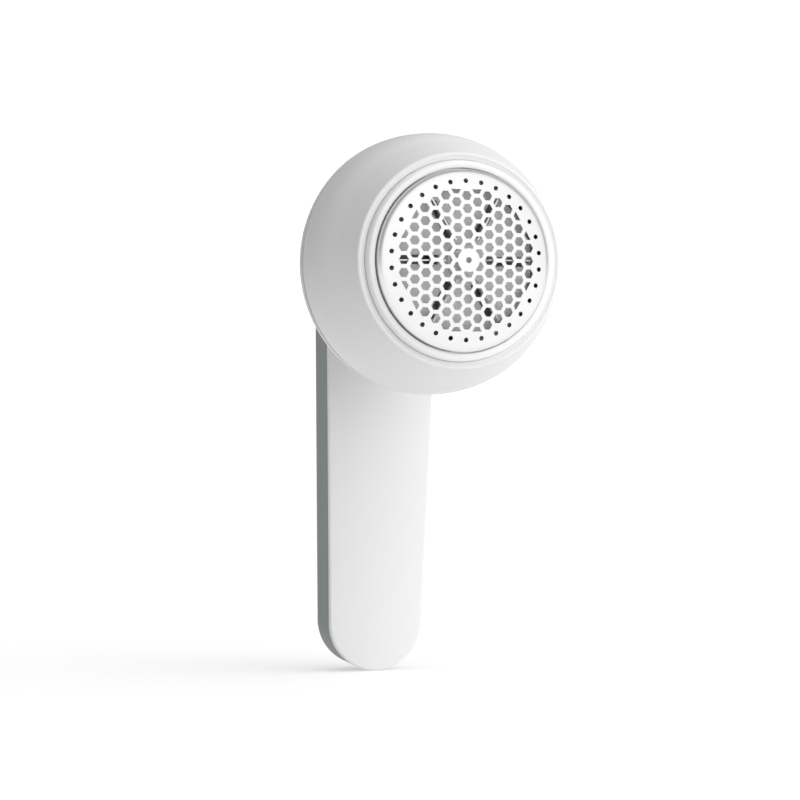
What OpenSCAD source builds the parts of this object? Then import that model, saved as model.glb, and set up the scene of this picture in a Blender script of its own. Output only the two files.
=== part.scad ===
/* [Overall] */
// Height of the foil axis above the rounded end of the handle
axis_h = 127.8; // [126:0.2:130]
// Depth from the foil's crown to the handle's parting line, on the foil axis
parting_d = 73.3; // [73.2:0.1:73.8]
// Lean of the handle away from the foil, in degrees
lean = 4.1; // [3.8:0.1:4.4]

/* [Head] */
// Largest radius of the head, at the seam
head_r = 39.7; // [39.2:0.1:40.4]
// Wall of the moulded shells
wall = 2.0; // [1.6:0.1:2.2]

/* [Foil] */
// Pitch of the hexagonal holes
hex_pitch = 3.8; // [3.6:0.05:4.0]
// Distance across the flats of one hexagonal hole
hex_af = 2.64; // [2.2:0.02:2.8]
// Radius of the field of hexagonal holes
hex_field_r = 20.9; // [20:0.1:21.4]
// Number of round holes in the outer ring
ring_holes = 30; // [24:2:36]
// Radius of the circle of round holes
ring_hole_r = 23.4; // [23:0.1:23.8]
// Diameter of one round hole
ring_hole_d = 1.43; // [1:0.01:1.6]

/* [Cutter] */
// Number of blades
blades = 6; // [3:1:6]
// Outer radius of the blades
blade_r = 21.2; // [19:0.1:21.6]

/* [Handle] */
// Width of the handle at its top, across the head's axis
handle_top_w = 37.6; // [37.2:0.2:38.2]
// Width of the handle at its rounded end
handle_end_w = 31; // [30:0.2:32]
// Thickness of the rear shell
band_t = 12.5; // [12.3:0.1:13.2]
// Rise of the crowned front cover at the middle of its width
crown = 2.2; // [1.8:0.1:2.4]

/* [Hidden] */
$fn = 96;
mid_d = 47.4;
r_top = handle_top_w / 2;
r_end = handle_end_w / 2;
len_c = (axis_h - 0.6 * sin(lean)) / cos(lean) - r_end;
foil_R = 122;
boss_r = 3.45;
// where the boss cuts the slanted sides of the first holes
boss_m = tan(30);
boss_c = hex_af / sqrt(3) / 2 - (hex_pitch - hex_af / 2) * boss_m;
boss_t = (sqrt(boss_m * boss_m * boss_c * boss_c - (1 + boss_m * boss_m) * (boss_c * boss_c - boss_r * boss_r))
    - boss_m * boss_c) / (1 + boss_m * boss_m);
boss_a = atan2(boss_m * boss_t + boss_c, boss_t);
w_t = 1.8;
seam_d = 35;
ring_d = 38;
tail_d = 68.6;
neck_r = 18.4;
white = [0.93, 0.93, 0.93];
grey = [0.47, 0.50, 0.49];
steel = [0.80, 0.81, 0.83];

// Head frame: local +Z runs back from the foil's crown, local +Y runs down the handle
module head() { translate([0, -mid_d, axis_h]) rotate([-90, 0, 0]) children(); }
// Handle frame: x across, y back from the parting line, z up along the handle
module pad() { translate([0, parting_d - mid_d, axis_h]) rotate([lean, 0, 0]) children(); }
module slab(v0, v1) { rotate([90, 0, 0]) translate([0, 0, -v1]) linear_extrude(v1 - v0) children(); }
module tube(ro, ri, z0, z1) {
    difference() {
        translate([0, 0, z0]) cylinder(r = ro, h = z1 - z0);
        translate([0, 0, z0 - 1]) cylinder(r = ri, h = z1 - z0 + 2);
    }
}
module ring_of(n, r, a0 = 0) { for (i = [0:n - 1]) rotate([0, 0, a0 + i * 360 / n]) translate([r, 0, 0]) children(); }

// Outline of the handle, drawn in by g on every side: two round ends joined by straight sides
module outline(g = 0) {
    t = asin((r_top - r_end) / len_c);
    n = 28;
    polygon(concat(
        [for (i = [0:n]) let (q = -t + i * (180 + 2 * t) / n) [(r_top - g) * cos(q), (r_top - g) * sin(q)]],
        [for (i = [0:n]) let (q = 180 + t + i * (180 - 2 * t) / n) [(r_end - g) * cos(q), -len_c + (r_end - g) * sin(q)]]));
}
// Long cylinder whose side is the crowned front of the handle
module crown_body(g = 0) {
    rc = (r_top * r_top + crown * crown) / (2 * crown);
    translate([0, rc - crown - 0.6 + g, -180]) cylinder(r = rc, h = 260, $fn = 180);
}
// Profile of the head behind the seam, as radius and depth
function rear_pts(g) = [[head_r - 0.1 - g, seam_d], [head_r - 0.15 - g, ring_d], [head_r - 2.3 - g, 43],
    [head_r - 4.6 - g, 48.5], [head_r - 7.4 - g, 54 - 0.3 * g], [head_r - 10.6 - g, 59 - 0.6 * g],
    [head_r - 14.4 - g, 63.5 - 0.8 * g], [head_r - 18.2 - g, 66.7 - g], [head_r - 22.5 - g, tail_d - g]];
module rear_body(g, d0, d1 = 68.6) {
    intersection() {
        rotate_extrude() polygon(concat([[0, seam_d]], rear_pts(g), [[0, tail_d - g]]));
        translate([0, 0, d0]) cylinder(r = 60, h = d1 - d0);
    }
}
// Channel in the back of the head that the neck fills, open downwards
module channel(r, d0, d1) {
    translate([0, 0, d0]) linear_extrude(d1 - d0) union() {
        circle(r = r);
        translate([-r, 0]) square([2 * r, 60]);
    }
}

module head_front_shell() color(white) head() difference() {
    rotate_extrude() polygon([
        [29.83, 7.75], [30.55, 7.75], [31.0, 7.3], [31.55, 7.12], [32.0, 7.3], [32.4, 7.85], [33.1, 9.6],
        [34.5, 12.8], [35.9, 16.4], [37.5, 20.05], [38.67, 23.66], [39.3, 27.2], [head_r - 0.12, 30.8],
        [head_r, seam_d - 0.4], [head_r - 0.4, seam_d], [head_r - wall - 0.2, seam_d], [head_r - wall - 0.2, 30.8],
        [37.0, 27.2], [36.3, 23.66], [35.1, 20.05], [33.6, 16.4], [32.6, 13.7], [29.83, 13.7]]);
}
module head_rear_housing() color(white) head() difference() {
    union() {
        difference() {
            rear_body(0, seam_d, ring_d);
            rear_body(wall + 0.6, seam_d - 1, ring_d + 1);
            translate([0, 0, seam_d - 1]) cylinder(r = head_r - wall - 0.9, h = 5);
        }
        difference() {
            intersection() { rear_body(0, ring_d - 1, tail_d); channel(neck_r, ring_d - 1, tail_d); }
            intersection() { rear_body(wall, ring_d - 2, tail_d); channel(neck_r - wall, ring_d - 2, tail_d - 2); }
        }
        // spigot that carries the neck into the handle's front cover
        translate([0, 0, tail_d - 1]) linear_extrude(4.7) union() {
            circle(r = 13);
            translate([-13, 0]) square([26, 13]);
        }
        translate([0, 0, 56.2]) cylinder(r = neck_r - 1, h = 2);
    }
    translate([0, 8.6, 50]) cylinder(r = 3.2, h = 30);
}
module cutter_well() color([0.78, 0.79, 0.79]) head() difference() {
    union() {
        tube(25.4, 23.9, 8.6, 16);
        difference() {
            translate([0, 0, 15]) cylinder(r = 32.4, h = 1.8);
            for (i = [0:5]) rotate([0, 0, 60 * i + 30]) translate([20.2, 0, 14]) cylinder(r = 3.2, h = 4);
        }
        difference() {
            tube(26.7, 25, 8.8, 9.8);
            for (i = [0:2]) rotate([0, 0, 120 * i - 13]) rotate([0, 0, 0]) translate([0, -0.01, 8])
                rotate_extrude(angle = 26) translate([25.45, 0]) square([3, 4]);
        }
        tube(32.5, 31.2, 13.75, 16.8);
        tube(32, 28.2, 13.75, 15.4);
        translate([0, 0, 16]) cylinder(r = 15.9, h = 3);
    }
    translate([0, 0, 10]) cylinder(r = 3.6, h = 12);
    ring_of(2, 8) translate([0, 0, 10]) cylinder(r = 1.35, h = 12);
    ring_of(2, 8) translate([0, 0, 10]) cylinder(r = 2.7, h = 6.6);
    ring_of(4, 30, 45) translate([0, 0, 10]) cylinder(r = 1.1, h = 12);
}
module well_screws() color(steel) head() ring_of(4, 30, 45) {
    difference() {
        translate([0, 0, 16.85]) cylinder(r = 2, h = 1.3);
        translate([0, 0, 17.5]) cylinder(r = 1, h = 2, $fn = 6);
    }
    translate([0, 0, 12.6]) cylinder(r = 1.1, h = 4.4);
}
module motor_tube() color(white) head() {
    tube(14.6, 12.4, 19.05, 56.1);
    difference() {
        translate([0, 0, 54.4]) cylinder(r = 12.6, h = 1.7);
        translate([0, 8.6, 50]) cylinder(r = 3, h = 10);
    }
}
module motor_can() color(steel) head() difference() {
    union() {
        translate([0, 0, 19.4]) cylinder(r = 12, h = 28);
        translate([0, 0, 18.1]) cylinder(r = 3.2, h = 1.5);
    }
    translate([0, 0, 15]) cylinder(r = 1.05, h = 8);
    translate([0, 0, 21]) cylinder(r = 10.8, h = 30);
    ring_of(2, 8) translate([0, 0, 15]) cylinder(r = 1.1, h = 8);
}
module motor_end_cap() color([0.16, 0.16, 0.17]) head() difference() {
    union() {
        translate([0, 0, 47.45]) cylinder(r = 12, h = 2.2);
        translate([0, 0, 45.5]) cylinder(r = 10.7, h = 2.2);
        translate([0, 0, 49.5]) cylinder(r = 3, h = 1.6);
    }
    translate([0, 0, 40]) cylinder(r = 1.05, h = 9.6);
    ring_of(2, 7.5, 90) translate([-1.6, -0.25, 40]) cube([3.2, 0.5, 14]);
}
module motor_terminals() color([0.80, 0.62, 0.30]) head() ring_of(2, 7.5, 90)
    translate([-1.4, -0.2, 47]) cube([2.8, 0.4, 5.6]);
module motor_screws() color(steel) head() ring_of(2, 8) {
    difference() {
        translate([0, 0, 15.2]) cylinder(r = 2.2, h = 1.4);
        translate([0, 0, 14.8]) cylinder(r = 1, h = 1.2, $fn = 6);
    }
    translate([0, 0, 16.5]) cylinder(r = 1.05, h = 5);
}
module front_cover() color(white) {
    difference() {
        pad() {
            difference() {
                intersection() { slab(-6, 0) outline(); crown_body(); }
                intersection() { slab(-6, 1) outline(w_t); crown_body(w_t); }
            }
            // lap that seats inside the rear shell
            difference() {
                slab(-0.8, 1.2) outline(w_t + 0.15);
                slab(-3, 3) outline(w_t + 1.15);
            }
            // bosses for the four screws
            for (p = [[-9, -4], [9, -4], [-9, -105], [9, -105]]) translate([p[0], 0, p[1]])
                difference() {
                    rotate([-90, 0, 0]) translate([0, 0, -1.6]) cylinder(r = 2.4, h = 10);
                    rotate([-90, 0, 0]) translate([0, 0, 0.2]) cylinder(r = 0.9, h = 10);
                }
        }
        // seat of the neck and the passage for the wires
        head() translate([0, 0, 60]) linear_extrude(tail_d + 3.7 - 60) union() {
            circle(r = 13);
            translate([-13, 0]) square([26, 13]);
        }
        head() translate([0, 8.6, 60]) cylinder(r = 3.4, h = 16);
    }
}
module rear_shell() color(grey) pad() difference() {
    hull() {
        slab(0.05, band_t - 1.8) outline();
        slab(band_t - 1.0, band_t - 0.9) outline(0.24);
        slab(band_t - 0.34, band_t - 0.24) outline(0.9);
        slab(band_t - 0.1, band_t) outline(1.8);
    }
    slab(-1, band_t - 2) outline(w_t);
    // screw recesses and clearance holes
    for (p = [[-9, -4], [9, -4], [-9, -105], [9, -105]]) translate([p[0], 0, p[1]]) rotate([-90, 0, 0]) {
        translate([0, 0, band_t - 1.2]) cylinder(r = 2.3, h = 3);
        translate([0, 0, band_t - 4]) cylinder(r = 1.2, h = 6);
    }
    // recess and slot of the switch
    translate([0, 0, -52]) slab(band_t - 1.0, band_t + 2) union() {
        square([9, 14], center = true);
        translate([0, 7]) circle(r = 4.5);
        translate([0, -7]) circle(r = 4.5);
    }
    translate([0, 0, -52]) slab(band_t - 4, band_t + 2) square([3.2, 10], center = true);
    // hole of the indicator lens
    translate([0, 0, -70]) rotate([-90, 0, 0]) translate([0, 0, band_t - 4]) cylinder(r = 1.55, h = 6);
    // opening of the charging inlet, through the rounded end
    translate([0, 5.05, -len_c - r_end - 3]) linear_extrude(8) union() {
        square([6, 3.7], center = true);
        translate([3, 0]) circle(d = 3.7);
        translate([-3, 0]) circle(d = 3.7);
    }
}
module handle_screws() color(steel) pad()
    for (p = [[-9, -4], [9, -4], [-9, -105], [9, -105]]) translate([p[0], 0, p[1]]) rotate([-90, 0, 0]) {
        difference() {
            translate([0, 0, band_t - 1.15]) cylinder(r = 2.1, h = 0.95);
            translate([0, 0, band_t - 0.7]) cylinder(r = 0.9, h = 2, $fn = 6);
        }
        translate([0, 0, 1.2]) cylinder(r = 0.9, h = band_t - 2.2);
    }
module battery_cell() color([0.32, 0.45, 0.62]) pad() translate([-12, 0.6, -62]) cube([24, 7.3, 48]);
module battery_pad() color([0.2, 0.2, 0.2]) pad() translate([-11, 7.95, -58]) {
    cube([5.5, 2.5, 40]);
    translate([16.5, 0, 0]) cube([5.5, 2.5, 40]);
}
module circuit_board() color([0.10, 0.36, 0.22]) pad() difference() {
    translate([-10.5, 2.2, -118]) cube([21, 1.2, 50]);
    for (s = [-1, 1]) translate([s * 9, 0, -105]) rotate([-90, 0, 0]) cylinder(r = 2.9, h = 6);
}
module board_parts() color([0.12, 0.12, 0.13]) pad() {
    translate([-4, 3.4, -92]) cube([5, 1, 5]);
    translate([4, 3.4, -94]) cube([3.2, 1.6, 3.2]);
    translate([-8, 3.4, -96]) cube([2, 0.8, 1.2]);
    translate([-8, 3.4, -90]) cube([2, 0.8, 1.2]);
    translate([3, 3.4, -86]) cube([2, 0.8, 1.2]);
    translate([-1.5, 3.4, -72]) cube([3, 2.6, 3]);
    translate([-9, 3.4, -80]) cube([5, 3.4, 7]);
}
module usb_socket() color(steel) pad() translate([0, 5.05, -len_c - r_end + 2.6]) difference() {
    linear_extrude(7.4) union() {
        square([6, 3.2], center = true);
        translate([3, 0]) circle(d = 3.2);
        translate([-3, 0]) circle(d = 3.2);
    }
    translate([0, 0, -1]) linear_extrude(7.2) union() {
        square([6, 2.6], center = true);
        translate([3, 0]) circle(d = 2.6);
        translate([-3, 0]) circle(d = 2.6);
    }
}
module switch_body() color([0.15, 0.15, 0.16]) pad() translate([0, 0, -52]) {
    difference() {
        translate([-4.5, 9.5, -8.5]) cube([9, 0.95, 17]);
        translate([-1.7, 6, -5.1]) cube([3.4, 6, 10.2]);
    }
}
module indicator_lens() color([0.95, 0.95, 0.9]) pad() translate([0, 0, -70]) rotate([-90, 0, 0]) {
    translate([0, 0, 9.8]) cylinder(r = 1.5, h = band_t - 9.8 - 0.05);
    translate([0, 0, 9.2]) cylinder(r = 2.2, h = 1.2);
}
module wire(side, pts) {
    for (i = [0:len(pts) - 2]) hull() {
        translate(pts[i]) sphere(r = 0.6, $fn = 8);
        translate(pts[i + 1]) sphere(r = 0.6, $fn = 8);
    }
}
// A point given in the handle's frame, as head coordinates
function ph(x, v, w) = [x, -(v * sin(lean) + w * cos(lean)), parting_d + v * cos(lean) - w * sin(lean)];
// Points of a lead, from the board, past the cell and up through the neck to the motor
function lead_pts(s) = [ph(s * 6, 4.1, -70), ph(s * 10, 4.6, -66.5), ph(s * 14, 5, -63.5), ph(s * 14, 5, -12.8),
    ph(s * 6, 4.5, -10.5), [s * 1.4, 8.8, 76.4], [s * 1.3, 8.6, 70], [s * 1.3, 8.4, 56], [s * 1.0, 7.8, 53.3]];
module wire_red() color([0.75, 0.12, 0.10]) head() wire(1, lead_pts(1));
module wire_black() color([0.08, 0.08, 0.08]) head() wire(-1, lead_pts(-1));

module lint_bin() color([0.62, 0.64, 0.65, 0.85]) head() {
    difference() {
        rear_body(0, ring_d + 0.5, tail_d);
        channel(neck_r + 0.5, 0, 80);
        difference() {
            rear_body(w_t, ring_d - 1, tail_d);
            channel(neck_r + 0.5 + 1.5, 0, 80);
        }
    }
    // finger ribs on top
    for (p = [[36.9, 44.3], [35.8, 47], [34.6, 49.7], [33.2, 52.4]]) rotate([0, 0, -102])
        rotate_extrude(angle = 24) translate(p) circle(r = 0.8, $fn = 24);
}
module bin_seal() color([0.15, 0.15, 0.16]) head() difference() {
    translate([0, 0, ring_d + 0.15]) linear_extrude(0.34) difference() {
        circle(r = head_r - 2.0);
        circle(r = head_r - 2.6 - 0.8);
        channel2();
    }
    rear_body(0, 90, 91);
}
module channel2() { translate([-neck_r - 0.5, 0]) square([2 * neck_r + 1, 60]); }
module switch_knob() color([0.86, 0.87, 0.87]) pad() translate([0, 0, -54.5]) {
    difference() {
        slab(band_t - 0.7, band_t + 0.5) union() {
            square([7.6, 5], center = true);
            translate([0, 2.5]) circle(r = 3.8);
            translate([0, -2.5]) circle(r = 3.8);
        }
        for (i = [-1:1]) translate([-2.5, band_t + 0.15, i * 1.8 - 0.4]) cube([5, 1, 0.8]);
    }
    translate([-1.3, band_t - 3.6, -1.8]) cube([2.6, 3.2, 3.6]);
}

module foil_holes() {
    r_h = hex_af / sqrt(3);
    for (i = [-7:7], j = [-7:7]) {
        x = i * hex_pitch * sqrt(3) / 2;
        y = (j + (abs(i) % 2) / 2) * hex_pitch;
        q = sqrt(x * x + y * y);
        if (q > 4.4 && q < hex_field_r - 0.4) translate([x, y]) circle(r = r_h, $fn = 6);
        // the field ends on straight lines through the last row, which leaves half holes there
        if (q > hex_field_r && q < hex_field_r + 0.5) translate([x, y])
            rotate(120 + 60 * round((atan2(y, x) - 30) / 60)) polygon([for (k = [0:3]) [r_h * cos(60 * k), r_h * sin(60 * k)]]);
    }
    // the first six, trimmed round the centre boss
    for (k = [0:5]) rotate(30 + 60 * k) polygon(concat(
        [for (a = [-2:2]) [boss_r * cos(a * boss_a / 2), boss_r * sin(a * boss_a / 2)]],
        [[hex_pitch, r_h], [hex_pitch + hex_af / 2, r_h / 2], [hex_pitch + hex_af / 2, -r_h / 2], [hex_pitch, -r_h]]));
    for (i = [0:ring_holes - 1]) rotate(90 + i * 360 / ring_holes) translate([ring_hole_r, 0]) circle(d = ring_hole_d);
    circle(r = 0.88);
}
module cutter_foil() color(steel) head() {
    difference() {
        intersection() {
            translate([0, 0, foil_R]) difference() {
                sphere(r = foil_R, $fn = 120);
                sphere(r = foil_R - 0.3, $fn = 120);
            }
            translate([0, 0, -1]) cylinder(r = 25.6, h = 8);
        }
        translate([0, 0, -2]) linear_extrude(8) foil_holes();
    }
    rotate_extrude() polygon([[25.45, 2.69], [26.3, 2.9], [26.8, 3.25], [27.0, 3.9], [27.0, 7.2], [28.1, 7.2],
        [28.1, 7.5], [26.7, 7.5], [26.7, 4.1], [26.5, 3.55], [26.1, 3.2], [25.4, 2.98]]);
    translate([0, 0, 0.32]) tube(3.1, 0.88, -0.1, 0.9);
}
module foil_gasket() color([0.2, 0.2, 0.2]) head() tube(26.65, 25.1, 7.55, 8.35);
module lock_ring() color(white) head() {
    difference() {
        rotate_extrude() polygon([[27.35, 5.3], [27.6, 5.0], [28.9, 5.0], [29.3, 5.3], [29.75, 6.6], [29.75, 11.4],
            [27.6, 11.4], [27.6, 7.85], [28.45, 7.85], [28.45, 6.9], [27.35, 6.9]]);
    }
    for (i = [0:2]) rotate([0, 0, 120 * i - 9]) translate([0, 0, 10.1])
        rotate_extrude(angle = 18) translate([25.8, 0]) square([2.2, 1.1]);
}
module motor_shaft() color(steel) head() translate([0, 0, 11]) cylinder(r = 1, h = 38.4);
module drive_coupler() color([0.9, 0.9, 0.88]) head() difference() {
    translate([0, 0, 9.3]) cylinder(r = 2.9, h = 5.2);
    translate([0, 0, 11]) cylinder(r = 1, h = 10);
}
module cutter_carrier() color([0.74, 0.75, 0.76]) head() difference() {
    union() {
        translate([0, 0, 5.0]) cylinder(r = 21.6, h = 1.6);
        tube(21.9, 20.7, 5.0, 8.2);
        translate([0, 0, 4]) cylinder(r = 5.2, h = 8);
    }
    translate([0, 0, 9.3]) cylinder(r = 2.9, h = 10);
    for (i = [0:blades - 1]) rotate([0, 0, 360 / blades * i]) translate([7.6, -1.2, 3.6]) cube([12, 2.8, 4]);
    for (i = [0:blades - 1]) rotate([0, 0, 360 / blades * i]) translate([6.6, -0.4, 3]) cube([blade_r, 0.9, 3.4]);
    translate([0, 0, 3.9]) cylinder(r = 1.1, h = 3);
}
module cutter_blades() color(steel) head() for (i = [0:blades - 1]) rotate([0, 0, 360 / blades * i])
    rotate([90, 0, 0]) translate([0, 0, -0.45]) linear_extrude(0.5)
        polygon([[6.8, 6.3], [6.8, 0.62 + 0.0041 * 46], [10, 0.62 + 0.0041 * 100], [14, 0.62 + 0.0041 * 196],
            [18, 0.62 + 0.0041 * 324], [blade_r, 0.62 + 0.0041 * 450], [blade_r, 6.3]]);
module hub_cap() color([0.9, 0.9, 0.88]) head() {
    translate([0, 0, 2.6]) cylinder(r = 4, h = 1.4);
    translate([0, 0, 4]) cylinder(r = 1.08, h = 2.8);
}

head_front_shell();
head_rear_housing();
cutter_well();
well_screws();
motor_tube();
motor_can();
motor_end_cap();
motor_terminals();
motor_screws();
front_cover();
rear_shell();
handle_screws();
battery_cell();
battery_pad();
circuit_board();
board_parts();
usb_socket();
switch_body();
indicator_lens();
wire_red();
wire_black();
lint_bin();
bin_seal();
switch_knob();
cutter_foil();
foil_gasket();
lock_ring();
motor_shaft();
drive_coupler();
cutter_carrier();
cutter_blades();
hub_cap();
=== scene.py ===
import bpy, bmesh, math
import numpy as np
from mathutils import Vector, Matrix
from mathutils.geometry import delaunay_2d_cdt


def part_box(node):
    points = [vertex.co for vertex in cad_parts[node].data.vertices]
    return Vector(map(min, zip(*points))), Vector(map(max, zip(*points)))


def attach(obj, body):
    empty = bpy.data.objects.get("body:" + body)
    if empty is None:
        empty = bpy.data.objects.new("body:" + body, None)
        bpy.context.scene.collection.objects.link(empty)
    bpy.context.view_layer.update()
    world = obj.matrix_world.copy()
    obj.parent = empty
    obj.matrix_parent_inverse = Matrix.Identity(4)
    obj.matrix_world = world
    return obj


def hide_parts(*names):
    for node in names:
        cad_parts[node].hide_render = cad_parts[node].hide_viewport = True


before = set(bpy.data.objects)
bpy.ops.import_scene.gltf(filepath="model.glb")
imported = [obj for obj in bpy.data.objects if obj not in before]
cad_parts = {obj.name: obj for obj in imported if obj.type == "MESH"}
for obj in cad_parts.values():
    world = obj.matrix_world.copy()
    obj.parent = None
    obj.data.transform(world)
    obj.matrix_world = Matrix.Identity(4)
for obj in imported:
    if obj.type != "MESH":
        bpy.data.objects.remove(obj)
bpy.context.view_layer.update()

MM = 0.001
# ---- datum points, read from the frame -------------------------------------------------
_lo, _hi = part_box("lock_ring")
AXZ = (_lo.z + _hi.z) / 2 * 1000.0              # height of the foil axis, mm
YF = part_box("cutter_foil")[0].y * 1000.0        # y of the foil's crown, mm
LEAN = math.radians(4.1)
PD = 73.3
R_TOP = (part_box("front_cover")[1].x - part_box("front_cover")[0].x) * 500.0
R_END = 15.5
LEN_C = (AXZ - 0.6 * math.sin(LEAN)) / math.cos(LEAN) - R_END
BAND = 12.5
CROWN = 2.2
HEAD_R = (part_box("head_front_shell")[1].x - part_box("head_front_shell")[0].x) * 500.0
SEAM = 35.0
NECK = 18.4


def H(x, up, d):
    """Head coordinates: x across, up from the foil axis, d back from the foil's crown, in mm."""
    return (x * MM, (YF + d) * MM, (AXZ + up) * MM)


def P(x, v, w):
    """Handle coordinates: x across, v back from the parting line, w along the handle, in mm."""
    y = v * math.cos(LEAN) - w * math.sin(LEAN)
    z = v * math.sin(LEAN) + w * math.cos(LEAN)
    return (x * MM, (YF + PD + y) * MM, (AXZ + z) * MM)


# ---- mesh helpers -----------------------------------------------------------------------
def new_obj(name, verts, faces, mat=None, smooth=True):
    me = bpy.data.meshes.new(name)
    me.from_pydata([tuple(v) for v in verts], [], [tuple(f) for f in faces])
    me.validate()
    bm = bmesh.new()
    bm.from_mesh(me)
    bmesh.ops.recalc_face_normals(bm, faces=bm.faces)
    bm.to_mesh(me)
    bm.free()
    ob = bpy.data.objects.new(name, me)
    bpy.context.scene.collection.objects.link(ob)
    if smooth:
        me.polygons.foreach_set("use_smooth", [True] * len(me.polygons))
    if mat:
        me.materials.append(mat)
    return ob


def sharp_by_angle(ob, deg=32):
    me = ob.data
    bm = bmesh.new()
    bm.from_mesh(me)
    lim = math.radians(deg)
    for e in bm.edges:
        if len(e.link_faces) == 2:
            e.smooth = e.calc_face_angle(0.0) < lim
        else:
            e.smooth = False
    for f in bm.faces:
        f.smooth = True
    bm.to_mesh(me)
    bm.free()


def apply_mods(ob):
    dg = bpy.context.evaluated_depsgraph_get()
    ev = ob.evaluated_get(dg)
    me = bpy.data.meshes.new_from_object(ev)
    old = ob.data
    ob.modifiers.clear()
    ob.data = me
    bpy.data.meshes.remove(old)
    return ob


def boolean(ob, other, op="DIFFERENCE", drop=True, solver="EXACT"):
    m = ob.modifiers.new("b", "BOOLEAN")
    m.operation = op
    m.solver = solver
    m.object = other
    bpy.context.view_layer.update()
    apply_mods(ob)
    if drop:
        d = other.data
        bpy.data.objects.remove(other)
        bpy.data.meshes.remove(d)
    return ob


def clean(ob, dist=0.004):
    bm = bmesh.new()
    bm.from_mesh(ob.data)
    bmesh.ops.remove_doubles(bm, verts=bm.verts, dist=dist * MM)
    bmesh.ops.dissolve_degenerate(bm, edges=bm.edges, dist=0.002 * MM)
    bm.to_mesh(ob.data)
    bm.free()
    return ob


def bevel(ob, width, segs=3, ang=40):
    m = ob.modifiers.new("bv", "BEVEL")
    m.width = width * MM
    m.segments = segs
    m.limit_method = "ANGLE"
    m.angle_limit = math.radians(ang)
    m.use_clamp_overlap = True
    m.miter_outer = "MITER_ARC"
    bpy.context.view_layer.update()
    apply_mods(ob)
    return ob


def spline(pts, n):
    """Centripetal Catmull-Rom through the points, n steps a span."""
    p = [np.array(q, float) for q in pts]
    p = [2 * p[0] - p[1]] + p + [2 * p[-1] - p[-2]]
    out = []
    for i in range(1, len(p) - 2):
        p0, p1, p2, p3 = p[i - 1:i + 3]
        t0 = 0.0
        t1 = t0 + np.linalg.norm(p1 - p0) ** 0.5
        t2 = t1 + np.linalg.norm(p2 - p1) ** 0.5
        t3 = t2 + np.linalg.norm(p3 - p2) ** 0.5
        for t in np.linspace(t1, t2, n, endpoint=False):
            a1 = (t1 - t) / (t1 - t0) * p0 + (t - t0) / (t1 - t0) * p1
            a2 = (t2 - t) / (t2 - t1) * p1 + (t - t1) / (t2 - t1) * p2
            a3 = (t3 - t) / (t3 - t2) * p2 + (t - t2) / (t3 - t2) * p3
            b1 = (t2 - t) / (t2 - t0) * a1 + (t - t0) / (t2 - t0) * a2
            b2 = (t3 - t) / (t3 - t1) * a2 + (t - t1) / (t3 - t1) * a3
            out.append((t2 - t) / (t2 - t1) * b1 + (t - t1) / (t2 - t1) * b2)
    out.append(p[-2])
    return [tuple(q) for q in out]


def arc(cx, cy, r, a0, a1, n):
    return [(cx + r * math.cos(math.radians(a0 + (a1 - a0) * i / n)), cy + r * math.sin(math.radians(a0 + (a1 - a0) * i / n))) for i in range(n + 1)]


def lathe(name, prof, seg=256, closed=True, mat=None, a0=0.0, a1=360.0, deg=35):
    """Turn a profile of (radius, depth) about the foil axis. A closed profile gives a ring."""
    full = abs(a1 - a0) >= 359.99
    cols = seg if full else seg + 1
    verts, faces = [], []
    n = len(prof)
    for j in range(cols):
        a = math.radians(a0 + (a1 - a0) * j / seg)
        for r, d in prof:
            verts.append(H(r * math.cos(a), r * math.sin(a), d))
    m = n if closed else n - 1
    for j in range(seg):
        k = (j + 1) % cols
        for i in range(m):
            i2 = (i + 1) % n
            faces.append((j * n + i, j * n + i2, k * n + i2, k * n + i))
    if not full and closed:
        faces.append(tuple(range(n)))
        faces.append(tuple((cols - 1) * n + i for i in range(n))[::-1])
    ob = new_obj(name, verts, faces, mat)
    sharp_by_angle(ob, deg)
    return ob


def lathe_solid(name, prof, seg=256, mat=None, deg=35):
    """Profile that starts and ends on the axis."""
    verts, faces = [], []
    inner = prof[1:-1]
    n = len(inner)
    verts.append(H(0, 0, prof[0][1]))
    verts.append(H(0, 0, prof[-1][1]))
    for j in range(seg):
        a = 2 * math.pi * j / seg
        for r, d in inner:
            verts.append(H(r * math.cos(a), r * math.sin(a), d))
    for j in range(seg):
        k = (j + 1) % seg
        b, c = 2 + j * n, 2 + k * n
        faces.append((0, b, c))
        for i in range(n - 1):
            faces.append((b + i, b + i + 1, c + i + 1, c + i))
        faces.append((1, c + n - 1, b + n - 1))
    ob = new_obj(name, verts, faces, mat)
    sharp_by_angle(ob, deg)
    return ob


def outline(g=0.0, n=72):
    """Handle outline in (x, w), drawn in by g, evenly stepped on its round ends and sides."""
    t = math.asin((R_TOP - R_END) / LEN_C)
    pts = []
    for i in range(n + 1):
        q = -t + i * (math.pi + 2 * t) / n
        pts.append(((R_TOP - g) * math.cos(q), (R_TOP - g) * math.sin(q)))
    m = 40
    a, b = pts[-1], ((R_END - g) * math.cos(math.pi + t), -LEN_C + (R_END - g) * math.sin(math.pi + t))
    pts += [(a[0] + (b[0] - a[0]) * i / m, a[1] + (b[1] - a[1]) * i / m) for i in range(1, m)]
    for i in range(n + 1):
        q = math.pi + t + i * (math.pi - 2 * t) / n
        pts.append(((R_END - g) * math.cos(q), -LEN_C + (R_END - g) * math.sin(q)))
    a, b = pts[-1], pts[0]
    pts += [(a[0] + (b[0] - a[0]) * i / m, a[1] + (b[1] - a[1]) * i / m) for i in range(1, m)]
    return pts


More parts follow.
